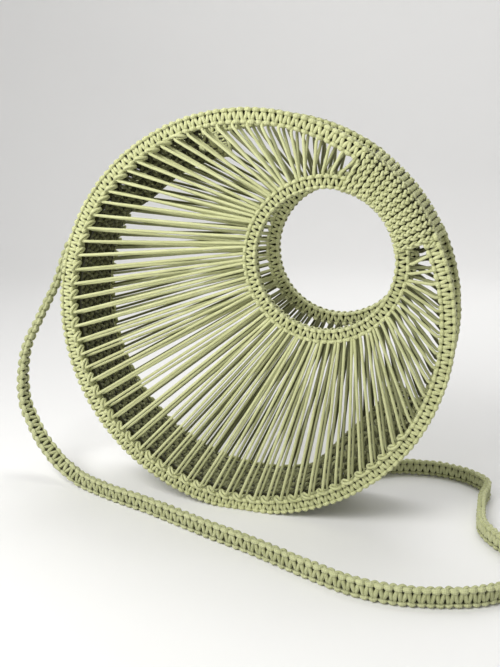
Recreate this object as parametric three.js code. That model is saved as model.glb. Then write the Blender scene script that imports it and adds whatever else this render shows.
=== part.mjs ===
import * as THREE from 'three';

// Round macrame bag in millimetres: +Z up, front towards -Y, resting on z = 0, centred on x = 0 and y = 0.

// Driving dimensions
const RING_OUTER_R = 127;
const RING_INNER_R = 117;
const RING_THICK = 8.5;
const RING_SPACING = 50;
const BASE_FLAT = 1.5;
const HOLE_OFFSET_R = 63.8;
const HOLE_OFFSET_DEG = 39;
const HOLE_R = 40.8;
const HOLE_RING_OUTER_R = 49.7;
const GAP = 0.3;

// Places that follow from them
const CENTRE_Z = RING_OUTER_R - BASE_FLAT;
const FACE_Y = RING_SPACING / 2;
const CENTRE = new THREE.Vector2(0, CENTRE_Z);
const HOLE_CENTRE = polar(CENTRE, HOLE_OFFSET_R, HOLE_OFFSET_DEG);

// Grip: plaited turns round all four hoops, between two nearly radial ends
const GRIP = {
  outerDeg: [24.7, 55.3],
  holeDeg: [5.5, 77.5],
  turns: 16,
  proudOutside: 2,
  proudHole: 0.5,
  halfDepth: 30.5,
  wall: 3.2,
  groove: 1.1,
  corner: 4.5,
  cavityCorner: 1.5,
};

// Hoops: the knotted band is full outside the grip and only a bare hoop inside it
const FULL_OUTER_DEG = [56.1, 383.9];
const FULL_HOLE_DEG = [79.5, 363.5];
const STEP_DEG = 0.4;
const BARE_OUTER = { radial: 5, thick: 3.8, corner: 1 };
const BARE_HOLE = { radial: 2.6, thick: 3.8, corner: 0.8 };
const BAND_CORNER = 1.8;
const RING_SEGMENTS = 80;
const HOLE_RING_SEGMENTS = 48;
const FLAT_TOLERANCE = 0.1;

// Webs: spokes from the large hoop to the small one; `margin` at each end is a share of a gap
const WEB = {
  gaps: 60,
  margin: 0.25,
  thick: 4,
  rim: 2.2,
  spoke: 2.4,
  outerDeg: [56.6, 383.4],
  holeDeg: [76.5, 366],
};
const SPOKE_ENDS = [
  // share of the way round, angle at the large hoop, angle at the small hoop
  [0, 56.6, 80],
  [0.08, 79.4, 111],
  [0.27, 142.6, 157],
  [0.38, 180.5, 190],
  [0.62, 259.8, 253.5],
  [0.79, 320, 300.5],
  [0.92, 360, 333],
  [1, 383.4, 361],
];

// Gusset: net wall between the large hoops, drooping inwards towards its two free ends, which are bowed
const GUSSET = {
  deg: [104, 331.5],
  endBowDeg: [4.5, 6],
  innerR: 116.3,
  thick: 2.7,
  segments: 46,
  strips: 8,
  topDroop: 15,
  topDroopDeg: [158, 132],
  sideDroop: 20,
  sideDroopDeg: [272, 314],
};

// Strap: flat knotted band; `across` columns give the direction of its width
const STRAP_WIDTH = 11.4;
const STRAP_THICK = 5.6;
const STRAP_CORNER = 1.4;
const STRAP_STEPS_PER_ROW = 2;
const FLOOR_GAP = 0.05;
const STRAP_ROUTE = [
  // x, y, z, across x, across y, across z
  [-110.5, 0, 172.4, 0, 1, 0],
  [-120, 1, 174, 0, 1, 0],
  [-129.5, 2, 169.5, 0, 1, 0],
  [-137, 2, 160.5, -0.15, 1, 0],
  [-145.2, 0, 139.6, -0.3, 0.95, 0],
  [-154.9, -2, 121.6, -0.28, 0.95, 0],
  [-162.5, -4, 106.9, -0.25, 0.95, 0],
  [-170.3, -6, 90.6, -0.18, 1, 0],
  [-173.3, -8.5, 70.1, -0.08, 1, 0],
  [-171.1, -11.5, 52.3, 0.07, 1, 0],
  [-163.9, -14.5, 38.8, 0.23, 0.97, 0.05],
  [-153.6, -18.5, 26.2, 0.3, 0.9, 0.25],
  [-138.9, -23.5, 14.9, 0.35, 0.75, 0.55],
  [-128, -27, 10, 0.25, 0.45, 0.85],
  [-115.4, -31, 6.2, 0.05, 0.15, 1],
  [-88.7, -41.1, 5.75, 0, 0, 1],
  [-54.5, -51.4, 5.75, 0, 0, 1],
  [-14.2, -66.1, 5.75, 0, 0, 1],
  [21.7, -78.2, 5.75, 0, 0, 1],
  [54.8, -91.3, 5.75, 0, 0, 1],
  [84.4, -101.2, 5.75, 0, 0, 1],
  [110.6, -102.4, 5.75, 0, 0, 1],
  [140.1, -94.8, 5.75, 0, 0, 1],
  [159.2, -84, 5.75, 0, 0, 1],
  [178, -67, 5.75, 0, 0, 1],
  [177, -47, 5.75, 0, 0, 1],
  [159.2, -30.5, 5.75, 0, 0, 1],
  [149.4, -14.9, 5.75, 0, 0, 1],
  [147.8, 0.8, 5.75, 0, 0, 1],
  [148, 22.6, 5.75, 0, 0, 1],
  [150.8, 43.8, 5.75, 0, 0, 1],
  [139.9, 57.1, 5.75, 0, 0, 1],
  [122.5, 63.8, 5.75, 0, 0, 1],
  [105, 63.7, 5.75, 0, 0, 1],
  [89, 60, 5.75, 0.1, -0.1, 1],
  [74, 52, 5, 0.5, -0.6, 0.6],
  [62.5, 38, 3.4, 0.9, -0.5, 0.1],
  [57, 24, 3, 1, -0.2, 0.05],
  [52, 12, 11, 1, -0.1, 0.4],
  [48.6, 4, 20.5, 1, 0, 0.8],
  [47.6, -2.5, 24.2, 1, 0, 0.95],
  [47.9, -9, 22.4, 1, 0, 0.9],
];

// Colours: pale sage cord, a little darker in the net
const SAGE = 0xbcc08e;
const SAGE_NET = 0xa9ad7c;
const SAGE_PLAIT = 0xc2c594;

function polar(centre, radius, degrees) {
  const turn = THREE.MathUtils.degToRad(degrees);
  return new THREE.Vector2(centre.x + radius * Math.cos(turn), centre.y + radius * Math.sin(turn));
}

function inSpace(point, y) {
  return new THREE.Vector3(point.x, y, point.y);
}

// Skin over a row of loops with the same number of points, either joined end to end or capped with strips
function loft(loops, joined) {
  const count = loops[0].length;
  const positions = loops.flat().flatMap((point) => [point.x, point.y, point.z]);
  const faces = [];
  const spans = joined ? loops.length : loops.length - 1;
  for (let i = 0; i < spans; i += 1) {
    const here = i * count;
    const next = ((i + 1) % loops.length) * count;
    for (let j = 0; j < count; j += 1) {
      const k = (j + 1) % count;
      faces.push([here + j, next + j, next + k], [here + j, next + k, here + k]);
    }
  }
  if (!joined) {
    const last = (loops.length - 1) * count;
    for (let j = 0; j < count / 2 - 1; j += 1) {
      const [a, b, c, d] = [j, j + 1, count - 2 - j, count - 1 - j];
      faces.push([a, b, c], [a, c, d]);
      faces.push([last + a, last + c, last + b], [last + a, last + d, last + c]);
    }
  }
  const points = loops.flat();
  const volume = faces.reduce((sum, [a, b, c]) => (
    sum + points[a].dot(new THREE.Vector3().crossVectors(points[b], points[c]))
  ), 0);
  const index = volume > 0 ? faces.flat() : faces.map(([a, b, c]) => [a, c, b]).flat();
  const geometry = new THREE.BufferGeometry();
  geometry.setAttribute('position', new THREE.Float32BufferAttribute(positions, 3));
  geometry.setIndex(index);
  geometry.computeVertexNormals();
  return geometry;
}

// Rectangle with cut corners as (u, v) pairs, opposite points paired for the strip caps
function cutRectangle(uLow, uHigh, vLow, vHigh, corner) {
  return [
    [uLow, vLow + corner],
    [uLow + corner, vLow],
    [uHigh - corner, vLow],
    [uHigh, vLow + corner],
    [uHigh, vHigh - corner],
    [uHigh - corner, vHigh],
    [uLow + corner, vHigh],
    [uLow, vHigh - corner],
  ];
}

// One hoop: full knotted band over `fullDeg`, bare hoop over the rest
function hoop(centre, innerR, outerR, y, fullDeg, bare, segments) {
  const middleR = (innerR + outerR) / 2;
  const full = cutRectangle(innerR, outerR, y - RING_THICK / 2, y + RING_THICK / 2, BAND_CORNER);
  const thin = cutRectangle(
    middleR - bare.radial / 2, middleR + bare.radial / 2, y - bare.thick / 2, y + bare.thick / 2, bare.corner,
  );
  const step = 360 / segments;
  const isFull = (degrees) => degrees > fullDeg[0] + STEP_DEG && degrees < fullDeg[1] - STEP_DEG;
  const start = Math.ceil((fullDeg[0] - STEP_DEG) / step) * step;
  const stations = [];
  for (let i = 0; i < segments; i += 1) {
    const degrees = start + i * step;
    const clearOfSteps = fullDeg.every((edge) => Math.abs(degrees - edge) > 2 * STEP_DEG);
    if (clearOfSteps) {
      stations.push({ degrees, section: isFull(degrees) ? full : thin });
    }
  }
  stations.push({ degrees: fullDeg[0] - STEP_DEG, section: thin }, { degrees: fullDeg[0], section: full });
  stations.push({ degrees: fullDeg[1], section: full }, { degrees: fullDeg[1] + STEP_DEG, section: thin });
  stations.sort((a, b) => a.degrees - b.degrees);
  const loops = stations.map(({ degrees, section }) => section.map(([radius, depth]) => {
    const point = inSpace(polar(centre, radius, degrees), depth);
    point.z = point.z < FLAT_TOLERANCE ? 0 : point.z;
    return point;
  }));
  return loft(loops, true);
}

// Angles of a spoke's two ends, a share of the way round
function spokeEnds(share) {
  const next = SPOKE_ENDS.findIndex(([at]) => at > share);
  const [from, to] = [SPOKE_ENDS[next - 1], SPOKE_ENDS[next]];
  const part = (share - from[0]) / (to[0] - from[0]);
  return [THREE.MathUtils.lerp(from[1], to[1], part), THREE.MathUtils.lerp(from[2], to[2], part)];
}

// Crescent plate between the hoops, cut through between the spokes
function web(y) {
  const outerR = RING_INNER_R - GAP;
  const holeR = HOLE_RING_OUTER_R + GAP;
  const gapOuterR = outerR - WEB.rim;
  const gapHoleR = holeR + WEB.rim;
  const spans = WEB.gaps + 2 * WEB.margin;
  const outerHalf = THREE.MathUtils.radToDeg(WEB.spoke / 2 / gapOuterR);
  const holeHalf = THREE.MathUtils.radToDeg(WEB.spoke / 2 / gapHoleR);
  const outline = [];
  const back = [];
  for (let i = 0; i <= WEB.gaps; i += 1) {
    const share = i / WEB.gaps;
    outline.push(polar(CENTRE, outerR, THREE.MathUtils.lerp(WEB.outerDeg[0], WEB.outerDeg[1], share)));
    back.unshift(polar(HOLE_CENTRE, holeR, THREE.MathUtils.lerp(WEB.holeDeg[0], WEB.holeDeg[1], share)));
  }
  const shape = new THREE.Shape([...outline, ...back]);
  for (let i = 0; i < WEB.gaps; i += 1) {
    const [outerDeg, holeDeg] = spokeEnds((i + WEB.margin) / spans);
    const [nextOuterDeg, nextHoleDeg] = spokeEnds((i + 1 + WEB.margin) / spans);
    shape.holes.push(new THREE.Path([
      polar(CENTRE, gapOuterR, outerDeg + outerHalf),
      polar(HOLE_CENTRE, gapHoleR, holeDeg + holeHalf),
      polar(HOLE_CENTRE, gapHoleR, nextHoleDeg - holeHalf),
      polar(CENTRE, gapOuterR, nextOuterDeg - outerHalf),
    ]));
  }
  const plain = { depth: WEB.thick, bevelEnabled: false, curveSegments: 1 };
  const geometry = new THREE.ExtrudeGeometry(shape, plain);
  geometry.rotateX(Math.PI / 2);
  geometry.translate(0, y + WEB.thick / 2, 0);
  return geometry;
}

// Inward droop of the net halfway between the hoops
function droopAt(degrees) {
  const [topClear, topFull] = GUSSET.topDroopDeg;
  const [sideClear, sideFull] = GUSSET.sideDroopDeg;
  const top = GUSSET.topDroop * THREE.MathUtils.smoothstep(topClear - degrees, 0, topClear - topFull);
  const side = GUSSET.sideDroop * THREE.MathUtils.smoothstep(degrees - sideClear, 0, sideFull - sideClear);
  return top + side;
}

function gusset() {
  const halfDepth = FACE_Y - RING_THICK / 2 - GAP;
  const loops = [];
  for (let i = 0; i <= GUSSET.segments; i += 1) {
    const inside = [];
    const outside = [];
    for (let j = 0; j <= GUSSET.strips; j += 1) {
      const y = THREE.MathUtils.lerp(-halfDepth, halfDepth, j / GUSSET.strips);
      const middle = 1 - (y / halfDepth) ** 2;
      const first = GUSSET.deg[0] - GUSSET.endBowDeg[0] * middle;
      const last = GUSSET.deg[1] + GUSSET.endBowDeg[1] * middle;
      const degrees = THREE.MathUtils.lerp(first, last, i / GUSSET.segments);
      const radius = GUSSET.innerR - droopAt(degrees) * middle;
      inside.push(inSpace(polar(CENTRE, radius, degrees), y));
      outside.unshift(inSpace(polar(CENTRE, radius + GUSSET.thick, degrees), y));
    }
    loops.push([...inside, ...outside]);
  }
  return loft(loops, false);
}

// Cross-section of the grip at a share of the way along it, `inset` below its outermost skin
function gripLoop(share, inset, corner) {
  const foot = polar(HOLE_CENTRE, HOLE_R - GRIP.proudHole, THREE.MathUtils.lerp(...GRIP.holeDeg, share));
  const head = polar(CENTRE, RING_OUTER_R + GRIP.proudOutside, THREE.MathUtils.lerp(...GRIP.outerDeg, share));
  const along = head.clone().sub(foot);
  const length = along.length();
  along.normalize();
  const depth = GRIP.halfDepth - inset;
  return cutRectangle(inset, length - inset, -depth, depth, corner).map(([u, v]) => (
    inSpace(foot.clone().addScaledVector(along, u), v)
  ));
}

function grip() {
  const outside = [];
  const inside = [];
  for (let i = 0; i <= 2 * GRIP.turns; i += 1) {
    const share = i / (2 * GRIP.turns);
    outside.push(gripLoop(share, i % 2 ? 0 : GRIP.groove, GRIP.corner));
    inside.unshift(gripLoop(share, GRIP.wall, GRIP.cavityCorner));
  }
  return loft([...outside, ...inside], true);
}

function strap() {
  const columns = (first) => STRAP_ROUTE.map((row) => new THREE.Vector3(...row.slice(first, first + 3)));
  const middle = new THREE.CatmullRomCurve3(columns(0));
  const across = new THREE.CatmullRomCurve3(columns(3));
  const halfWidth = STRAP_WIDTH / 2;
  const halfThick = STRAP_THICK / 2;
  const section = cutRectangle(-halfWidth, halfWidth, -halfThick, halfThick, STRAP_CORNER);
  const steps = (STRAP_ROUTE.length - 1) * STRAP_STEPS_PER_ROW;
  const loops = [];
  for (let i = 0; i <= steps; i += 1) {
    const point = middle.getPoint(i / steps);
    const tangent = middle.getTangent(i / steps);
    const width = across.getPoint(i / steps).projectOnPlane(tangent).normalize();
    const normal = new THREE.Vector3().crossVectors(tangent, width);
    const loop = section.map(([u, v]) => (
      point.clone().addScaledVector(width, u).addScaledVector(normal, v)
    ));
    const lift = Math.max(0, FLOOR_GAP - Math.min(...loop.map((corner) => corner.z)));
    loop.forEach((corner) => { corner.z += lift; });
    loops.push(loop);
  }
  return loft(loops, false);
}

function piece(name, geometry, color) {
  const material = new THREE.MeshStandardMaterial({ color, roughness: 0.9, metalness: 0 });
  const mesh = new THREE.Mesh(geometry, material);
  mesh.name = name;
  return mesh;
}

function outerRing(y) {
  return hoop(CENTRE, RING_INNER_R, RING_OUTER_R, y, FULL_OUTER_DEG, BARE_OUTER, RING_SEGMENTS);
}

function holeRing(y) {
  return hoop(HOLE_CENTRE, HOLE_R, HOLE_RING_OUTER_R, y, FULL_HOLE_DEG, BARE_HOLE, HOLE_RING_SEGMENTS);
}

const bag = new THREE.Group();
bag.name = 'macrame_bag';
bag.add(
  piece('front_outer_ring', outerRing(-FACE_Y), SAGE),
  piece('back_outer_ring', outerRing(FACE_Y), SAGE),
  piece('front_inner_ring', holeRing(-FACE_Y), SAGE),
  piece('back_inner_ring', holeRing(FACE_Y), SAGE),
  piece('front_web', web(-FACE_Y), SAGE),
  piece('back_web', web(FACE_Y), SAGE),
  piece('gusset', gusset(), SAGE_NET),
  piece('grip', grip(), SAGE_PLAIT),
  piece('strap', strap(), SAGE),
);

export default bag;
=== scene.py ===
"""Round macrame bag: knotted hoops, spokes, net gusset, plaited grip and flat strap."""

import math

import bpy
import numpy as np
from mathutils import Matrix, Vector


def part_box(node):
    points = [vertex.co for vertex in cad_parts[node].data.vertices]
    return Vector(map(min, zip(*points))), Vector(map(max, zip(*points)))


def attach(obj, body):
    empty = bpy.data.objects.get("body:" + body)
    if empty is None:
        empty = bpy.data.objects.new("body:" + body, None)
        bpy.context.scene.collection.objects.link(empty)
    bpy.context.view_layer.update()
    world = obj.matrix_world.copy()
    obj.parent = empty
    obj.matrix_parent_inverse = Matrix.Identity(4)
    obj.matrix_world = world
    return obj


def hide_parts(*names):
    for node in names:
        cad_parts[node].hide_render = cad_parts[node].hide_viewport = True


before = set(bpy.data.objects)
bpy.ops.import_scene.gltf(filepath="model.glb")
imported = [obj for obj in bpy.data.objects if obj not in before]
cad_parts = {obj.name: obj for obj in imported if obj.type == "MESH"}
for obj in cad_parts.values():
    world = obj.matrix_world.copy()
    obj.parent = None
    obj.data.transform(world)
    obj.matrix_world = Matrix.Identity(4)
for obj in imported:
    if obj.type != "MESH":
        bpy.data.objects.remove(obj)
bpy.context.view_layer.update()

# All lengths are millimetres until a mesh is made
METRES = 0.001
IN_MIDDLE_PLANE = (1, 0, 1)
RANDOM = np.random.default_rng(11)
NEARLY_ZERO = 1e-9
NEARLY_UPRIGHT = 0.8
STRAND_SIDES = 6
CURVE_STEPS = 2
# Painted shade at full strength, for cords that lie deep inside the work
FULLY_SHADED = 1.0


def box_mm(node):
    """Lowest and highest corner of a node in millimetres."""
    low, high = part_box(node)
    return np.array(low) / METRES, np.array(high) / METRES


# Hoops, from the frame
RING_LOW, RING_HIGH = box_mm("front_outer_ring")
BACK_LOW, BACK_HIGH = box_mm("back_outer_ring")
HOLE_LOW, HOLE_HIGH = box_mm("front_inner_ring")
RING_R = (RING_HIGH[0] - RING_LOW[0]) / 2
CENTRE = np.array([0.0, RING_HIGH[2] - RING_R])
RING_THICK = RING_HIGH[1] - RING_LOW[1]
FRONT_Y = (RING_LOW[1] + RING_HIGH[1]) / 2
BACK_Y = (BACK_LOW[1] + BACK_HIGH[1]) / 2
HOLE_RING_R = (HOLE_HIGH[0] - HOLE_LOW[0]) / 2
HOLE_CENTRE = np.array([(HOLE_LOW[0] + HOLE_HIGH[0]) / 2, (HOLE_LOW[2] + HOLE_HIGH[2]) / 2])

# Knotted bands over the hoops. A knot at each end goes on under the grip, the plump values scale the cord,
# and the wobble is a share of a knot's size.
BAND_WIDTH = 10.0
HOLE_BAND_WIDTH = 8.9
RING_INNER_R = RING_R - BAND_WIDTH
HOOP_R = 1.5
HOOP_POINTS = 121
FILLER_R = 1.3
FILLER_BESIDE = 2.3
RING_KNOTS = 163
HOLE_RING_KNOTS = 63
KNOTS_UNDER_GRIP = 1
RING_PLUMP = 1.0
HOLE_PLUMP = 0.86
KNOT_WOBBLE = 0.028
# Painted shade darkens each band cord on its side towards a core at this share of its way across
SHADE_CORE_SHARE = 0.7

# One half knot as its cord runs round the right edge of a band. The second cord takes the same way, turned
# over and half a knot later, so each face shows slanting bars between two rows of bumps.
HALF_KNOT = np.array([
    # knots along, share of half the width, share of half the height, cord radius
    (0.25, 0.00, 0.90, 1.22),
    (0.14, 0.58, 0.78, 1.02),
    (0.10, 0.95, 0.00, 0.95),
    (0.26, 0.93, -0.85, 1.30),
    (0.50, 0.97, -1.00, 1.48),
    (0.74, 0.91, -0.85, 1.30),
    (0.90, 0.93, 0.00, 0.95),
    (0.86, 0.56, 0.78, 1.02),
])
BUMP_R = HALF_KNOT[:, 3].max()

# Grip: its ends as angles round the centre of each hoop, and its rounded section, which sags on the outside
GRIP_OUTER_DEG = (24.7, 55.3)
GRIP_HOLE_DEG = (5.5, 77.5)
GRIP_TURNS = 16
GRIP_HALF_DEPTH = 30.5
GRIP_SAG = 3.2
GRIP_SAG_POINTS = 11
GRIP_PROUD_HOLE = 0.5
GRIP_CORNER = 4.0
GRIP_OUTER_CORNER = 8.0
GRIP_CORNER_POINTS = 7
GRIP_USUAL_DEPTH = 26.0

# Plait that winds round the grip, and the plain cord below its grooves. The wander is a share of the pitch,
# the unevenness a share of the period.
PLAIT_STRANDS = 3
PLAIT_STRAND_R = 0.88
PLAIT_SWING = 1.25
PLAIT_DEPTH = 1.1
PLAIT_FLATNESS = 0.7
PLAIT_SUNK = 0.6
PLAIT_PERIOD = 13.0
PLAIT_STEPS = 15
PLAIT_PITCH = 4.4
PLAIT_WANDER = 0.03
PLAIT_WANDER_WAVES = (2.3, 0.9)
PLAIT_UNEVEN = 0.08
PLAIT_UNEVEN_WAVE = 17
GROOVE_CORD_R = 1.1
GROOVE_CORD_DEPTH = 2.6
GROOVE_CORD_STEPS = 40

# Spokes: two layers of cords, the rear one a little to the side, with their ends tucked into the hoops
SPOKES = 74
SPOKE_R = 0.92
SPOKE_SIDES = 8
SPOKE_BESIDE_DEG = 1.15
SPOKE_TUCK = 2.0
SPOKE_TUCK_HEIGHT = 0.6
SPOKE_CLEAR = 1.0
SPOKE_SHARES = (0.25, 0.5, 0.75)
SPOKE_ENDS = np.array([
    # spoke number, angles round the large and the small hoop, mm of its rear cord aside at each, its
    # painted shade
    (0, 56.0, 82.0, -1.6, 1.6, 0.45),
    (6, 79.4, 111.0, -1.6, 1.6, 0.40),
    (20, 142.6, 157.0, 0.4, 3.0, 0.15),
    (28, 180.5, 190.0, 1.7, 3.4, 0.10),
    (36, 218.0, 220.0, 2.2, 2.6, 0.30),
    (45, 259.8, 253.5, 2.8, 1.6, 0.40),
    (58, 320.0, 300.5, 1.2, 1.6, 0.45),
    (67, 360.0, 333.0, 0.5, 1.6, 0.45),
    (73, 382.5, 360.0, 0.0, 1.6, 0.45),
])
SPOKE_LAYERS = (
    # mm in front of the hoop's middle, share of the rear cord's aside and painted shade, spread, painted
    # shade of the side that faces the bag's middle
    (2.9, 0, 0.25, 0.7),
    (-3.7, 1, 0.5, 0.3),
)

# Loops that tie each spoke to the gusset along the inner edge of the large hoop
TIE_R = 0.95
TIE_WOBBLE = 0.04
TIE_LOOP = np.array([
    # share of the way to the next spoke, mm outside the hoop's inner edge, mm in front of its middle
    (-0.18, 1.9, 2.8),
    (-0.04, 1.5, 4.0),
    (0.15, 0.9, 4.3),
    (0.33, 0.2, 3.7),
    (0.46, -0.4, 2.5),
    (0.52, -0.8, 1.0),
    (0.46, -1.0, -0.3),
    (0.35, -1.0, 0.7),
    (0.23, -0.8, 1.9),
    (0.11, -0.3, 2.6),
    (-0.03, 0.3, 2.9),
])

# Gusset: net of small square knots that droops inwards near its two free ends
GUSSET_DEG = (104.0, 331.5)
GUSSET_END_BOW_DEG = (4.5, 6.0)
GUSSET_R = 117.6
GUSSET_LENGTH = math.radians(GUSSET_DEG[1] - GUSSET_DEG[0]) * GUSSET_R
GUSSET_HALF_DEPTH = 20.4
GUSSET_TOP_DROOP = 15.0
GUSSET_TOP_DEG = (158.0, 132.0)
GUSSET_SIDE_DROOP = 20.0
GUSSET_SIDE_DEG = (272.0, 314.0)
GUSSET_END_BAND = 8.0
GUSSET_END_KNOTS = 9
NET_COLUMNS = 62
NET_ROWS = 7
NET_CORD_R = 1.05
NET_ROOM = 6.0
# Painted shade on the net: its sides that face the room are dark, its outer sides light, and a strand that
# stands further in or out is lighter on that side
NET_SHADE_BY_HEIGHT = 0.44
NET_SHADE_OUTSIDE = 0.15
NET_SHADE_INSIDE = np.array([
    # share of its length, painted shade of the side that faces the room, less towards the bottom and far
    # end where light falls in
    (0.00, 1.08),
    (0.38, 1.06),
    (0.55, 0.98),
    (0.73, 0.92),
    (1.00, 0.86),
])
NET_RIM_R = 1.8
# Painted shade of the rim cords: light outside, dark on the sides towards the room and the net
NET_RIM_SHADE_OUTSIDE = 0.2
NET_RIM_SHADE = 1.2
NET_KNOT_CORDS = (
    # share of a column along, share of a row across, mm inwards
    np.array([
        (-0.50, -0.55, 0.0),
        (-0.36, -0.30, 0.3),
        (0.00, -0.20, 1.1),
        (0.36, -0.05, 0.2),
        (0.00, 0.17, 1.1),
        (-0.36, 0.30, 0.2),
        (-0.50, 0.55, 0.0),
    ]),
    np.array([
        (0.50, -0.55, 0.0),
        (0.41, -0.20, 1.1),
        (0.38, 0.05, 0.5),
        (0.00, 0.10, -1.1),
        (-0.38, 0.08, 0.3),
        (-0.41, 0.25, 1.2),
        (-0.30, 0.38, -0.2),
        (0.10, 0.40, -1.0),
        (0.50, 0.55, 0.0),
    ]),
    np.array([(-0.14, -0.55, 0.0), (-0.14, 0.55, 0.0)]),
    np.array([(0.14, -0.55, 0.0), (0.14, 0.55, 0.0)]),
)

# Strap: a flat band of knots over four straight cords, which stands on its narrow edge on the floor
STRAP_WIDTH = 11.4
STRAP_THICK = 5.6
STRAP_PLUMP = 1.12
STRAP_KNOTS = np.array([
    # share of its length, mm from knot to knot
    (0.00, 6.2),
    (0.27, 6.2),
    (0.40, 5.9),
    (0.49, 5.3),
    (0.57, 4.7),
    (1.00, 4.6),
])
STRAP_FILLER_R = 0.95
# Painted shade on the strap's filler cords, which lie inside it
STRAP_FILLER_SHADE = 0.8
STRAP_FILLERS = (-2.7, -0.9, 0.9, 2.7)
STRAP_STEPS = 12
STRAP_ON_FLOOR = (5.75, 0, 0, 1)
STRAP_ROUTE = np.array([
    # x, y, z of its middle and the direction of its width
    (-110.5, 0, 172.4, 0, 1, 0),
    (-120, 1, 174, 0, 1, 0),
    (-129.5, 2, 169.5, 0, 1, 0),
    (-137, 2, 160.5, -0.15, 1, 0),
    (-145.2, 0, 139.6, -0.3, 0.95, 0),
    (-154.9, -2, 121.6, -0.28, 0.95, 0),
    (-162.5, -4, 106.9, -0.25, 0.95, 0),
    (-170.3, -6, 90.6, -0.18, 1, 0),
    (-173.3, -8.5, 70.1, -0.08, 1, 0),
    (-171.1, -11.5, 52.3, 0.07, 1, 0),
    (-163.9, -14.5, 38.8, 0.23, 0.97, 0.05),
    (-153.6, -18.5, 26.2, 0.3, 0.9, 0.25),
    (-138.9, -23.5, 14.9, 0.35, 0.75, 0.55),
    (-128, -27, 10, 0.25, 0.45, 0.85),
    (-115.4, -31, 6.2, 0.05, 0.15, 1),
    (-88.7, -41.1, *STRAP_ON_FLOOR),
    (-54.5, -51.4, *STRAP_ON_FLOOR),
    (-14.2, -66.1, *STRAP_ON_FLOOR),
    (21.7, -78.2, *STRAP_ON_FLOOR),
    (54.8, -91.3, *STRAP_ON_FLOOR),
    (84.4, -101.2, *STRAP_ON_FLOOR),
    (110.6, -102.4, *STRAP_ON_FLOOR),
    (140.1, -94.8, *STRAP_ON_FLOOR),
    (159.2, -84, *STRAP_ON_FLOOR),
    (178, -67, *STRAP_ON_FLOOR),
    (177, -47, *STRAP_ON_FLOOR),
    (159.2, -30.5, *STRAP_ON_FLOOR),
    (149.4, -14.9, *STRAP_ON_FLOOR),
    (147.8, 0.8, *STRAP_ON_FLOOR),
    (148, 22.6, *STRAP_ON_FLOOR),
    (150.8, 43.8, *STRAP_ON_FLOOR),
    (139.9, 57.1, *STRAP_ON_FLOOR),
    (122.5, 63.8, *STRAP_ON_FLOOR),
    (105, 63.7, *STRAP_ON_FLOOR),
    (89, 60, 5.75, 0.1, -0.1, 1),
    (74, 52, 5, 0.5, -0.6, 0.6),
    (62.5, 38, 3.4, 0.9, -0.5, 0.1),
    (57, 24, 3, 1, -0.2, 0.05),
    (52, 12, 11, 1, -0.1, 0.4),
    (48.6, 4, 20.5, 1, 0, 0.8),
    (47.6, -2.5, 24.2, 1, 0, 0.95),
    (47.9, -9, 22.4, 1, 0, 0.9),
])

# Colours
SAGE_LIGHT = (0.64, 0.655, 0.36)
SAGE_DARK = (0.43, 0.445, 0.21)
# The strap's sage is darker than the hoops': painted shade for a strap that lies low in the bag's shade
STRAP_SHADED_LIGHT = (0.56, 0.575, 0.325)
STRAP_SHADED_DARK = (0.37, 0.385, 0.19)
# The net's sage is darker than the hoops': painted shade for the bag's dim inside
NET_SHADED_LIGHT = (0.56, 0.575, 0.31)
NET_SHADED_DARK = (0.34, 0.35, 0.16)
# Dark olive of the painted shade in grooves and on the sides of strands that lie deep in the work
GROOVE_SHADE_COLOUR = (0.03, 0.03, 0.008)
FLOOR_COLOUR = (0.78, 0.775, 0.765)
SKY_COLOUR = (0.95, 0.97, 1.0)

# Surface of the cord: a fine braid, uneven dye, and painted shade that darkens grooves and the sides of
# strands that lie deep in the work. The shares tell how much the braid, the dye and the strand's own tint
# lighten it.
CORD_ROUGHNESS = 0.82
CORD_SPECULAR = 0.25
CORD_SHEEN = 0.2
CORD_SHEEN_ROUGHNESS = 0.45
BRAID_LENGTH = 1.6
BRAID_YARNS = 4
BRAID_START = 50
BRAID_SHARE = 0.24
BRAID_BUMP = 0.6
BRAID_BUMP_DEPTH = 0.15
DYE_SCALE = 90
DYE_DETAIL = 4
DYE_SHARE = 0.7
TINT_SHARE = 0.3
DARK_AT = 0.15
LIGHT_AT = 0.85
# Painted shade: where the shade attribute starts to darken the cord, and where it is full
SHADE_FROM = 0.3
SHADE_FULL = 0.82

# Stage, in metres
FLOOR_R = 1.0
FLOOR_CURVE_R = 0.8
FLOOR_CURVE_POINTS = 13
WALL_TOP = 1.8
FLOOR_SIDES = 96
FLOOR_ROUGHNESS = 0.8
LIGHTS = (
    # name, place, aim, size, watts
    ("key", (-0.25, -0.47, 0.55), (0, 0, 0.15), 0.4, 5.2),
    ("fill", (0.8, -0.9, 0.6), (0, 0, 0.12), 0.9, 2.0),
    ("rim", (0.2, 0.7, 0.9), (0, 0, 0.15), 0.7, 3),
    ("backdrop", (0, 0.5, 1.5), (0, 1.7, 0.3), 0.9, 14),
)
SKY_STRENGTH = 0.12

# Camera
CAMERA_LENS = 40.57
CAMERA_AZIMUTH_DEG = 17.8
CAMERA_ELEVATION_DEG = 13.9
CAMERA_DISTANCE = 463.2
CAMERA_TARGET = np.array([3.97, FRONT_Y, 118.3])


def unit(vectors):
    """Vectors of length one; a zero vector stays zero."""
    return vectors / np.maximum(np.linalg.norm(vectors, axis=-1, keepdims=True), NEARLY_ZERO)


def ring_points(centre, radius, degrees, y):
    """Points at a radius and an angle round a centre, y away from the middle plane."""
    turn = np.radians(degrees)
    x = centre[0] + radius * np.cos(turn)
    z = centre[1] + radius * np.sin(turn)
    return np.stack(np.broadcast_arrays(x, y, z), axis=-1)


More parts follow.
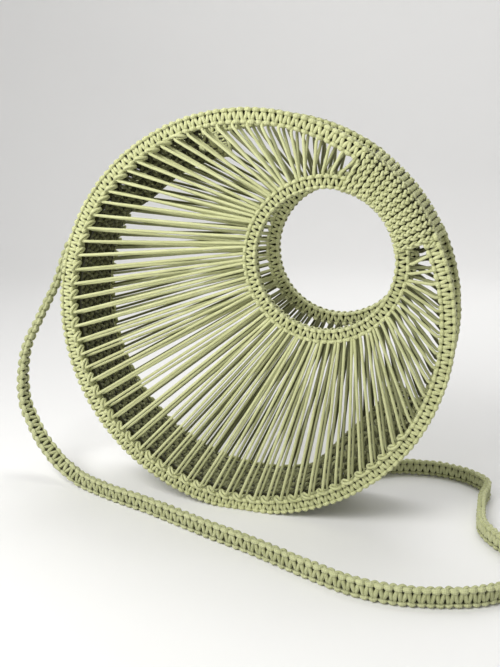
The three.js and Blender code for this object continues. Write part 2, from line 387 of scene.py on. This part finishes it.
def spline(points, steps):
    """Smooth line through points, or a batch of lines, with a number of steps from each to the next."""
    before = 2 * points[..., :1, :] - points[..., 1:2, :]
    after = 2 * points[..., -1:, :] - points[..., -2:-1, :]
    rows = np.concatenate([before, points, after], axis=-2)
    a, b, c, d = (rows[..., i:rows.shape[-2] - 3 + i, None, :] for i in range(4))
    u = (np.arange(steps) / steps)[:, None]
    body = b + 0.5 * u * ((c - a) + u * ((2 * a - 5 * b + 4 * c - d) + u * (3 * b - a - 3 * c + d)))
    body = body.reshape(*points.shape[:-2], -1, points.shape[-1])
    return np.concatenate([body, points[..., -1:, :]], axis=-2)


def carried_normals(tangent):
    """A normal for each point of a batch of lines that turns as little as it can along the line."""
    normal = np.empty_like(tangent)
    lying = np.abs(tangent[:, 0, 2:3]) < NEARLY_UPRIGHT
    helper = np.where(lying, (0.0, 0.0, 1.0), (1.0, 0.0, 0.0))
    normal[:, 0] = unit(np.cross(tangent[:, 0], helper))
    for i in range(1, tangent.shape[1]):
        carried = normal[:, i - 1]
        along = (carried * tangent[:, i]).sum(axis=-1, keepdims=True)
        normal[:, i] = unit(carried - along * tangent[:, i])
    return normal


def tube_rays(lines, sides):
    """Directions from each point of a batch of lines to the sides of the tube round it."""
    tangent = unit(np.gradient(lines, axis=1))
    normal = carried_normals(tangent)
    binormal = np.cross(tangent, normal)
    angle = 2 * math.pi * np.arange(sides) / sides
    return normal[:, :, None] * np.cos(angle)[:, None] + binormal[:, :, None] * np.sin(angle)[:, None]


class Bundle:
    """Round strands that become one mesh."""

    def __init__(self):
        self.points = []
        self.faces = []
        self.places = []
        self.tints = []
        self.painted_shade = []
        self.count = 0

    def add(self, lines, radius, sides=STRAND_SIDES, inside=None, depth=0.0, shade=1.0):
        """Adds round tubes along a batch of lines that have the same number of points.

        `depth` is painted shade over all of a tube, for how deep it lies in the work, and `shade` the
        painted shade added on the side of it that faces the `inside` points.
        """
        lines = np.asarray(lines, dtype=float)
        lines = lines.reshape(-1, *lines.shape[-2:])
        strands, steps, _ = lines.shape
        rays = tube_rays(lines, sides)
        reach = np.broadcast_to(radius, (strands, steps))[..., None, None]
        painted_shade = np.zeros((strands, steps, sides)) + np.broadcast_to(depth, (strands, steps))[..., None]
        if inside is not None:
            inwards = unit(np.asarray(inside).reshape(-1, *lines.shape[-2:]) - lines)
            faced = 0.5 + 0.5 * (rays * inwards[:, :, None]).sum(axis=-1)
            painted_shade += np.broadcast_to(shade, (strands, steps))[..., None] * faced
        self.add_skin(lines, sides)
        self.points.append((lines[:, :, None] + rays * reach).reshape(-1, 3))
        self.tints.append(np.repeat(RANDOM.uniform(0, 1, strands), steps * sides))
        self.painted_shade.append(np.clip(painted_shade, 0, 1).ravel())
        self.count += strands * steps * sides

    def add_skin(self, lines, sides):
        """Adds the tubes' faces, with mm along and turns around as their places, and closes their ends."""
        strands, steps, _ = lines.shape
        grid = self.count + np.arange(strands * steps * sides).reshape(strands, steps, sides)
        beside = np.roll(grid, -1, axis=2)
        skin = np.stack([grid[:, :-1], beside[:, :-1], beside[:, 1:], grid[:, 1:]], axis=-1)
        lengths = np.linalg.norm(np.diff(lines, axis=1), axis=-1)
        travelled = np.concatenate([np.zeros((strands, 1)), np.cumsum(lengths, axis=1)], axis=1)
        travelled = travelled + RANDOM.uniform(0, BRAID_START, (strands, 1))
        here = np.broadcast_to(travelled[:, :-1, None], skin.shape[:-1])
        there = np.broadcast_to(travelled[:, 1:, None], skin.shape[:-1])
        share = np.broadcast_to(np.arange(sides) / sides, skin.shape[:-1])
        next_share = share + 1 / sides
        along = np.stack([here, here, there, there], axis=-1)
        around = np.stack([share, next_share, next_share, share], axis=-1)
        self.faces.append(skin.reshape(-1, 4))
        self.places.append(np.stack([along, around], axis=-1).reshape(-1, 4, 2))
        for ring, turned in ((grid[:, 0], True), (grid[:, -1], False)):
            for j in range(sides // 2 - 1):
                corners = [j, j + 1, sides - 2 - j, sides - 1 - j]
                cap = ring[:, corners[::-1] if turned else corners]
                self.faces.append(cap)
                self.places.append(np.zeros((strands, 4, 2)))

    def piece(self, name, material, node):
        """Makes the mesh object that stands for a node."""
        faces = np.concatenate(self.faces)
        mesh = bpy.data.meshes.new(name)
        mesh.from_pydata((np.concatenate(self.points) * METRES).tolist(), [], faces.tolist())
        layer = mesh.uv_layers.new(name="strand")
        layer.data.foreach_set("uv", np.concatenate(self.places).ravel())
        # The painted shade is stored as a point attribute that the material reads
        for attribute, values in (("tint", self.tints), ("painted_shade", self.painted_shade)):
            stored = mesh.attributes.new(attribute, "FLOAT", "POINT")
            stored.data.foreach_set("value", np.concatenate(values))
        mesh.polygons.foreach_set("use_smooth", np.ones(len(faces), dtype=bool))
        mesh.materials.append(material)
        mesh.update()
        made = bpy.data.objects.new(name, mesh)
        bpy.context.collection.objects.link(made)
        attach(made, "root")
        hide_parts(node)
        return made


def band_cords(first, last, width, thick, plump=1.0):
    """The two cords of a flat knotted band as rows of (knots along, mm across, mm high, mm radius)."""
    half_size = (1, width / 2 - plump * BUMP_R, thick / 2 - plump * BUMP_R, plump)
    cords = []
    for over, later in ((1, 0.0), (-1, 0.5)):
        halves = []
        for count in range(2 * first, 2 * last):
            side = 1 if count % 2 == 0 else -1
            half = HALF_KNOT * (1, side, over, 1) + (count / 2 + later, 0, 0, 0)
            halves.append(half + RANDOM.normal(0, KNOT_WOBBLE, half.shape))
        cords.append(spline(np.concatenate(halves) * half_size, CURVE_STEPS))
    return cords


def rest_on_floor(points, radius):
    """Keeps a strand's middle at least its radius above the floor."""
    points[..., 2] = np.maximum(points[..., 2], radius)
    return points


# Knotted hoops

def knotted_hoop(name, node, material, centre, radius, width, plump, y, outward, knots, exposed):
    """A hoop with a flat knotted band over it, from one end of the grip to the other."""
    middle = radius - width / 2
    step = 360 / knots
    last = round((exposed[1] - exposed[0]) / step) + KNOTS_UNDER_GRIP
    bundle = Bundle()
    for cord in band_cords(-KNOTS_UNDER_GRIP, last, width, RING_THICK, plump):
        along, across, height, cord_r = cord.T
        degrees = exposed[0] + along * step
        line = ring_points(centre, middle + across, degrees, y + outward * height)
        # Painted shade on each cord's side towards the band's core
        core = ring_points(centre, middle + SHADE_CORE_SHARE * across, degrees, y)
        bundle.add(rest_on_floor(line, cord_r), cord_r, inside=core)
    turn = np.linspace(0, 360, HOOP_POINTS)
    # The hoop and its filler cords are painted fully in shade colour, so the gaps between the knots look
    # dark
    for beside, strand_r in ((-FILLER_BESIDE, FILLER_R), (0, HOOP_R), (FILLER_BESIDE, FILLER_R)):
        bundle.add(ring_points(centre, middle + beside, turn, y), strand_r, depth=FULLY_SHADED)
    bundle.piece(name, material, node)


# Spokes and the ties along the gusset

def spoke_angles():
    """Angles of the spokes' ends; at the small hoop they gather in the gaps between its knots."""
    number, *ends = SPOKE_ENDS.T
    outer, inner, *rear = (np.interp(np.arange(SPOKES), number, column) for column in ends)
    step = 360 / HOLE_RING_KNOTS
    gap = np.floor((inner - GRIP_HOLE_DEG[1]) / step)
    shared = gap[1:] == gap[:-1]
    has_next = np.append(shared, False)
    has_previous = np.insert(shared, 0, False)
    inner = GRIP_HOLE_DEG[1] + (gap + 0.5) * step
    inner = inner - SPOKE_BESIDE_DEG * has_next + SPOKE_BESIDE_DEG * has_previous
    return outer, inner, rear


def spokes(name, node, material, y, outward):
    """Two layers of straight cords from the large hoop to the small one, and the ties to the gusset."""
    outer, inner, (outer_aside, inner_aside, rear_shade) = spoke_angles()
    bundle = Bundle()
    for height, rear, loose, shade in SPOKE_LAYERS:
        level = y + outward * height
        tucked = y + outward * height * SPOKE_TUCK_HEIGHT
        shift = RANDOM.normal(0, loose, SPOKES)
        outer_deg = outer + np.degrees((rear * outer_aside + shift) / RING_INNER_R)
        inner_deg = inner + np.degrees((rear * inner_aside + shift) / HOLE_RING_R)
        start = ring_points(CENTRE, RING_INNER_R + SPOKE_TUCK, outer_deg, tucked)
        leave = ring_points(CENTRE, RING_INNER_R - SPOKE_CLEAR, outer_deg, level)
        reach = ring_points(HOLE_CENTRE, HOLE_RING_R + SPOKE_CLEAR, inner_deg, level)
        end = ring_points(HOLE_CENTRE, HOLE_RING_R - SPOKE_TUCK, inner_deg, tucked)
        between = [leave + (reach - leave) * share for share in SPOKE_SHARES]
        lines = spline(np.stack([start, leave, *between, reach, end], axis=1), CURVE_STEPS)
        # Painted shade: the rear cords darker, and each cord's side towards the bag's middle plane
        depth = rear * rear_shade[:, None]
        middle = lines * IN_MIDDLE_PLANE
        bundle.add(lines, SPOKE_R, SPOKE_SIDES, inside=middle, depth=depth, shade=shade)
    step = (outer[-1] - outer[0]) / (SPOKES - 1)
    tied = outer[(outer - step > GUSSET_DEG[0]) & (outer < GUSSET_DEG[1])]
    share, proud, height = spline(TIE_LOOP, CURVE_STEPS).T
    wobble = RANDOM.normal(0, TIE_WOBBLE, (len(tied), 1))
    degrees = tied[:, None] - (share + wobble) * step
    ties = ring_points(CENTRE, RING_INNER_R + proud, degrees, y + outward * height)
    bundle.add(ties, TIE_R)
    bundle.piece(name, material, node)


# Gusset

def smoothstep(x):
    """Even rise from 0 to 1."""
    x = np.clip(x, 0, 1)
    return x * x * (3 - 2 * x)


def net_radius(degrees, y):
    """Radius of the net, which droops inwards near its two free ends."""
    top_clear, top_full = GUSSET_TOP_DEG
    side_clear, side_full = GUSSET_SIDE_DEG
    top = GUSSET_TOP_DROOP * smoothstep((top_clear - degrees) / (top_clear - top_full))
    side = GUSSET_SIDE_DROOP * smoothstep((degrees - side_clear) / (side_full - side_clear))
    return GUSSET_R - (top + side) * (1 - (y / GUSSET_HALF_DEPTH) ** 2)


def on_net(along, y, inward):
    """Points on the net: mm along its round, mm across and mm inwards."""
    middle = 1 - (y / GUSSET_HALF_DEPTH) ** 2
    first = GUSSET_DEG[0] - GUSSET_END_BOW_DEG[0] * middle
    last = GUSSET_DEG[1] + GUSSET_END_BOW_DEG[1] * middle
    degrees = first + (last - first) * along / GUSSET_LENGTH
    return ring_points(CENTRE, net_radius(degrees, y) - inward, degrees, y)


def gusset(material):
    """Net of square knots in staggered rows, a cord along each rim and a band along each free end."""
    column = (GUSSET_LENGTH - 2 * GUSSET_END_BAND) / NET_COLUMNS
    row = 2 * GUSSET_HALF_DEPTH / NET_ROWS
    bundle = Bundle()
    places = []
    for j in range(NET_ROWS):
        odd = j % 2
        for i in range(NET_COLUMNS - odd):
            along = GUSSET_END_BAND + (i + 0.5 + 0.5 * odd) * column
            places.append((along, (j + 0.5) * row - GUSSET_HALF_DEPTH))
    places = np.array(places)[:, None]
    for cord in NET_KNOT_CORDS:
        line = spline(cord, CURVE_STEPS)
        along = places[..., 0] + line[:, 0] * column
        y = np.clip(places[..., 1] + line[:, 1] * row, -GUSSET_HALF_DEPTH, GUSSET_HALF_DEPTH)
        # Painted shade on each net cord, by its side and by how far it stands in or out
        room = on_net(along, y, NET_ROOM)
        crown = NET_SHADE_BY_HEIGHT * line[:, 2]
        depth = NET_SHADE_OUTSIDE + crown
        shade = np.interp(along / GUSSET_LENGTH, *NET_SHADE_INSIDE.T) - crown - depth
        bundle.add(on_net(along, y, line[:, 2]), NET_CORD_R, inside=room, depth=depth, shade=shade)
    along = np.linspace(0, GUSSET_LENGTH, 2 * NET_COLUMNS)
    for rim in (-GUSSET_HALF_DEPTH, GUSSET_HALF_DEPTH):
        line = on_net(along, rim, 0)
        # Painted shade on the rim cords' sides towards the room
        room = on_net(along, rim, NET_ROOM)
        bundle.add(line, NET_RIM_R, inside=room, depth=NET_RIM_SHADE_OUTSIDE, shade=NET_RIM_SHADE)
    for middle in (GUSSET_END_BAND / 2, GUSSET_LENGTH - GUSSET_END_BAND / 2):
        for cord in band_cords(0, GUSSET_END_KNOTS, GUSSET_END_BAND, STRAP_THICK):
            along, across, height, cord_r = cord.T
            y = np.clip(along / GUSSET_END_KNOTS * 2 - 1, -1, 1) * GUSSET_HALF_DEPTH
            # Painted shade on the end band's cords, on their sides towards its core
            core = on_net(np.full_like(y, middle), y, 0)
            bundle.add(on_net(middle + across, y, height), cord_r, inside=core)
    bundle.piece("gusset_net", material, "gusset")


# Grip

def grip_profile():
    """Rounded section of the grip, u from the hole outwards and v from front to back.

    Returns the share of the way round at each point, rows of (depth share, u, v, normal u, normal v)
    and the length of the way round.
    """
    rows = []
    corners = ((1, -1, -90), (1, 1, 0), (0, 1, 90), (0, -1, 180))
    for at_u, at_v, start in corners:
        for turn in np.radians(np.linspace(start, start + 90, GRIP_CORNER_POINTS)):
            corner = GRIP_OUTER_CORNER if at_u else GRIP_CORNER
            inset_u = -corner if at_u else corner
            u = inset_u + corner * math.cos(turn)
            v = at_v * (GRIP_HALF_DEPTH - corner) + corner * math.sin(turn)
            rows.append((at_u, u, v, math.cos(turn), math.sin(turn)))
        if (at_u, at_v) == (1, -1):
            for across in np.linspace(-1, 1, GRIP_SAG_POINTS)[1:-1]:
                v = across * (GRIP_HALF_DEPTH - GRIP_OUTER_CORNER)
                rows.append((1, -GRIP_SAG * (1 - across ** 2), v, 1, 0))
    rows.append(rows[0])
    rows = np.array(rows)
    flat = np.stack([rows[:, 0] * GRIP_USUAL_DEPTH + rows[:, 1], rows[:, 2]], axis=-1)
    travelled = np.append(0, np.cumsum(np.linalg.norm(np.diff(flat, axis=0), axis=-1)))
    return travelled / travelled[-1], rows, travelled[-1]


def on_grip(profile, turns, aside, raised):
    """Points on the winding: turns so far, mm aside along the grip and mm raised from its outer skin."""
    shares, rows, _ = profile
    share = np.clip((turns + aside / PLAIT_PITCH) / GRIP_TURNS, 0.0, 1.0)
    section = (np.interp(turns % 1.0, shares, column) for column in rows.T)
    depth_share, u, v, normal_u, normal_v = section
    foot_deg = GRIP_HOLE_DEG[0] + share * (GRIP_HOLE_DEG[1] - GRIP_HOLE_DEG[0])
    head_deg = GRIP_OUTER_DEG[0] + share * (GRIP_OUTER_DEG[1] - GRIP_OUTER_DEG[0])
    foot = ring_points(HOLE_CENTRE, HOLE_RING_R - HOLE_BAND_WIDTH - GRIP_PROUD_HOLE, foot_deg, 0.0)
    head = ring_points(CENTRE, RING_R, head_deg, 0.0)
    depth = np.linalg.norm(head - foot, axis=-1)
    line = foot + unit(head - foot) * (depth_share * depth + u + normal_u * raised)[:, None]
    line[:, 1] = v + normal_v * raised
    return line


def grip(material):
    """A three-strand plait wound round all four hoops, over a plain cord that fills the grooves."""
    profile = grip_profile()
    periods = profile[2] / PLAIT_PERIOD
    turns = np.linspace(0, GRIP_TURNS, round(periods * PLAIT_STEPS * GRIP_TURNS))
    waves = sum(np.sin(wave * math.pi * turns) for wave in PLAIT_WANDER_WAVES)
    wander = PLAIT_WANDER * PLAIT_PITCH * waves
    uneven = PLAIT_UNEVEN * np.sin(PLAIT_UNEVEN_WAVE * turns)
    bundle = Bundle()
    for strand in range(PLAIT_STRANDS):
        phase = 2 * math.pi * (turns * periods + strand / PLAIT_STRANDS + uneven)
        swing = PLAIT_SWING * np.sin(phase)
        crown = PLAIT_DEPTH * (np.sin(2 * phase) - PLAIT_FLATNESS * np.sin(phase) ** 2)
        raised = crown - PLAIT_STRAND_R - PLAIT_SUNK * PLAIT_DEPTH
        line = on_grip(profile, turns, swing + wander, raised)
        # Painted shade on each strand's side towards the winding's core
        core = on_grip(profile, turns, wander, raised - 2 * PLAIT_STRAND_R)
        bundle.add(line, PLAIT_STRAND_R, inside=core)
    half_turn = 0.5
    under = np.linspace(half_turn, GRIP_TURNS - half_turn, GROOVE_CORD_STEPS * (GRIP_TURNS - 1))
    grooves = on_grip(profile, under, half_turn * PLAIT_PITCH, -GROOVE_CORD_DEPTH)
    # The cord in the grooves is painted fully in shade colour
    bundle.add(grooves, GROOVE_CORD_R, depth=FULLY_SHADED)
    bundle.piece("grip_plait", material, "grip")


# Strap

def strap(material):
    """Flat knotted band along its route, lying on its narrow edge on the floor."""
    route = spline(STRAP_ROUTE, STRAP_STEPS)
    middle = route[:, :3]
    lengths = np.linalg.norm(np.diff(middle, axis=0), axis=-1)
    travelled = np.append(0, np.cumsum(lengths))
    tangent = unit(np.gradient(middle, axis=0))
    across = route[:, 3:] - (route[:, 3:] * tangent).sum(axis=-1, keepdims=True) * tangent
    across = unit(across)
    facing = np.cross(tangent, across)
    knot_length = np.interp(travelled / travelled[-1], *STRAP_KNOTS.T)
    tied = np.append(0, np.cumsum(lengths / knot_length[1:]))
    knots = int(tied[-1])
    bundle = Bundle()

    def place(along, aside, height):
        at = np.interp(along, tied * knots / tied[-1], travelled)
        point, width, normal = (
            np.stack([np.interp(at, travelled, column) for column in rows.T], axis=-1)
            for rows in (middle, across, facing)
        )
        return point + width * aside[:, None] - normal * height[:, None]

    for cord in band_cords(0, knots, STRAP_WIDTH, STRAP_THICK, STRAP_PLUMP):
        along, aside, height, cord_r = cord.T
        # Painted shade on each cord's side towards the band's core
        core = place(along, SHADE_CORE_SHARE * aside, np.zeros_like(height))
        bundle.add(rest_on_floor(place(along, aside, height), cord_r), cord_r, inside=core)
    # The filler cords inside the band are painted darker, as shade
    filler = np.linspace(0, knots, 2 * knots)
    for aside in STRAP_FILLERS:
        line = place(filler, np.full_like(filler, aside), np.zeros_like(filler))
        bundle.add(rest_on_floor(line, STRAP_FILLER_R), STRAP_FILLER_R, depth=STRAP_FILLER_SHADE)
    made = bundle.piece("strap_band", material, "strap")


# Materials

def cord_material(name, light, dark):
    """Matt braided cord: fine crossing yarns, uneven dye, and painted shade in the grooves between the
    strands.
    """
    material = bpy.data.materials.new(name)
    material.use_nodes = True
    nodes = material.node_tree.nodes
    links = material.node_tree.links
    shader = nodes["Principled BSDF"]
    shader.inputs["Roughness"].default_value = CORD_ROUGHNESS
    shader.inputs["Specular IOR Level"].default_value = CORD_SPECULAR
    shader.inputs["Sheen Weight"].default_value = CORD_SHEEN
    shader.inputs["Sheen Roughness"].default_value = CORD_SHEEN_ROUGHNESS

    def math_node(operation, first, second=None):
        node = nodes.new("ShaderNodeMath")
        node.operation = operation
        for socket, value in zip(node.inputs, (first, second)):
            if isinstance(value, (int, float)):
                socket.default_value = value
            elif value is not None:
                links.new(value, socket)
        return node.outputs[0]

    def attribute(name):
        node = nodes.new("ShaderNodeAttribute")
        node.attribute_name = name
        return node.outputs["Fac"]

    place = nodes.new("ShaderNodeUVMap")
    place.uv_map = "strand"
    split = nodes.new("ShaderNodeSeparateXYZ")
    links.new(place.outputs["UV"], split.inputs[0])
    along = math_node("MULTIPLY", split.outputs["X"], 2 * math.pi / BRAID_LENGTH)
    around = math_node("MULTIPLY", split.outputs["Y"], 2 * math.pi * BRAID_YARNS)
    left = math_node("SINE", math_node("ADD", along, around))
    right = math_node("SINE", math_node("SUBTRACT", along, around))
    weave = math_node("MULTIPLY", left, right)
    spot = nodes.new("ShaderNodeTexCoord")
    noise = nodes.new("ShaderNodeTexNoise")
    noise.inputs["Scale"].default_value = DYE_SCALE
    noise.inputs["Detail"].default_value = DYE_DETAIL
    links.new(spot.outputs["Object"], noise.inputs["Vector"])
    shade = math_node("MULTIPLY", weave, BRAID_SHARE)
    shade = math_node("ADD", shade, math_node("MULTIPLY", noise.outputs["Fac"], DYE_SHARE))
    shade = math_node("ADD", shade, math_node("MULTIPLY", attribute("tint"), TINT_SHARE))
    ramp = nodes.new("ShaderNodeValToRGB")
    ramp.color_ramp.elements[0].position = DARK_AT
    ramp.color_ramp.elements[0].color = (*dark, 1)
    ramp.color_ramp.elements[1].position = LIGHT_AT
    ramp.color_ramp.elements[1].color = (*light, 1)
    links.new(shade, ramp.inputs["Fac"])
    # Painted shade: the strands' shade attribute mixes the colour towards a dark olive in grooves and on
    # sides that lie deep in the work
    painted_groove_shade = nodes.new("ShaderNodeMapRange")
    painted_groove_shade.interpolation_type = "SMOOTHSTEP"
    painted_groove_shade.inputs["From Min"].default_value = SHADE_FROM
    painted_groove_shade.inputs["From Max"].default_value = SHADE_FULL
    links.new(attribute("painted_shade"), painted_groove_shade.inputs["Value"])
    colour = nodes.new("ShaderNodeMix")
    colour.data_type = "RGBA"
    links.new(painted_groove_shade.outputs["Result"], colour.inputs["Factor"])
    links.new(ramp.outputs["Color"], colour.inputs["A"])
    colour.inputs["B"].default_value = (*GROOVE_SHADE_COLOUR, 1)
    links.new(colour.outputs["Result"], shader.inputs["Base Color"])
    bump = nodes.new("ShaderNodeBump")
    bump.inputs["Strength"].default_value = BRAID_BUMP
    bump.inputs["Distance"].default_value = BRAID_BUMP_DEPTH * METRES
    links.new(weave, bump.inputs["Height"])
    links.new(bump.outputs["Normal"], shader.inputs["Normal"])
    return material


def floor_material():
    """Plain pale matt floor."""
    material = bpy.data.materials.new("floor")
    material.use_nodes = True
    shader = material.node_tree.nodes["Principled BSDF"]
    shader.inputs["Base Color"].default_value = (*FLOOR_COLOUR, 1)
    shader.inputs["Roughness"].default_value = FLOOR_ROUGHNESS
    return material


# Stage

def floor():
    """Round floor that curves up into a wall all round."""
    profile = [(FLOOR_R, 0.0)]
    for turn in np.radians(np.linspace(0, 90, FLOOR_CURVE_POINTS))[1:]:
        profile.append((FLOOR_R + FLOOR_CURVE_R * math.sin(turn), FLOOR_CURVE_R * (1 - math.cos(turn))))
    profile.append((FLOOR_R + FLOOR_CURVE_R, WALL_TOP))
    points = []
    for radius, height in profile:
        for turn in 2 * math.pi * np.arange(FLOOR_SIDES) / FLOOR_SIDES:
            points.append((radius * math.cos(turn), radius * math.sin(turn), height))
    faces = [tuple(range(FLOOR_SIDES))]
    for i in range(len(profile) - 1):
        for j in range(FLOOR_SIDES):
            k = (j + 1) % FLOOR_SIDES
            low, high = i * FLOOR_SIDES, (i + 1) * FLOOR_SIDES
            faces.append((low + k, low + j, high + j, high + k))
    mesh = bpy.data.meshes.new("floor")
    mesh.from_pydata(points, [], faces)
    mesh.polygons.foreach_set("use_smooth", np.ones(len(faces), dtype=bool))
    mesh.materials.append(floor_material())
    made = bpy.data.objects.new("floor", mesh)
    bpy.context.collection.objects.link(made)


def look_at(thing, place, aim):
    """Puts a lamp or camera at a place and turns it to what it looks at."""
    thing.location = place
    thing.rotation_euler = (Vector(aim) - Vector(place)).to_track_quat("-Z", "Y").to_euler()
    bpy.context.collection.objects.link(thing)


def lights():
    """Soft studio light, mostly from the upper left."""
    world = bpy.data.worlds.new("studio")
    world.use_nodes = True
    sky = world.node_tree.nodes["Background"]
    sky.inputs["Color"].default_value = (*SKY_COLOUR, 1)
    sky.inputs["Strength"].default_value = SKY_STRENGTH
    bpy.context.scene.world = world
    for name, place, aim, size, watts in LIGHTS:
        data = bpy.data.lights.new(name, "AREA")
        data.size = size
        data.energy = watts
        lamp = bpy.data.objects.new(name, data)
        lamp.visible_camera = False
        look_at(lamp, place, aim)
    bpy.context.scene.view_settings.view_transform = "Standard"


def camera():
    """Camera in front of the bag, a little to the right and above."""
    data = bpy.data.cameras.new("camera")
    data.lens = CAMERA_LENS
    azimuth = math.radians(CAMERA_AZIMUTH_DEG)
    elevation = math.radians(CAMERA_ELEVATION_DEG)
    level = math.cos(elevation)
    back = np.array([math.sin(azimuth) * level, -math.cos(azimuth) * level, math.sin(elevation)])
    view = bpy.data.objects.new("camera", data)
    look_at(view, (CAMERA_TARGET + back * CAMERA_DISTANCE) * METRES, CAMERA_TARGET * METRES)
    bpy.context.scene.camera = view


floor()
lights()
camera()
knotted_cord = cord_material("knotted_cord", SAGE_LIGHT, SAGE_DARK)
# The strap gets a darker copy of the sage cord, as painted shade
shaded_strap_cord = cord_material("shaded_strap_cord", STRAP_SHADED_LIGHT, STRAP_SHADED_DARK)
spoke_cord = cord_material("spoke_cord", SAGE_LIGHT, SAGE_DARK)
# The net gets a darker copy of the sage cord, as painted shade
net_cord = cord_material("net_cord", NET_SHADED_LIGHT, NET_SHADED_DARK)
plait_cord = cord_material("plait_cord", SAGE_LIGHT, SAGE_DARK)
strap(shaded_strap_cord)
for side, y, outward in (("front", FRONT_Y, -1), ("back", BACK_Y, 1)):
    knotted_hoop(
        f"{side}_ring_knots", f"{side}_outer_ring", knotted_cord,
        centre=CENTRE, radius=RING_R, width=BAND_WIDTH, plump=RING_PLUMP,
        y=y, outward=outward, knots=RING_KNOTS, exposed=(GRIP_OUTER_DEG[1], GRIP_OUTER_DEG[0] + 360),
    )
    knotted_hoop(
        f"{side}_hole_knots", f"{side}_inner_ring", knotted_cord,
        centre=HOLE_CENTRE, radius=HOLE_RING_R, width=HOLE_BAND_WIDTH, plump=HOLE_PLUMP,
        y=y, outward=outward, knots=HOLE_RING_KNOTS, exposed=(GRIP_HOLE_DEG[1], GRIP_HOLE_DEG[0] + 360),
    )
    spokes(f"{side}_spokes", f"{side}_web", spoke_cord, y, outward)
gusset(net_cord)
grip(plait_cord)
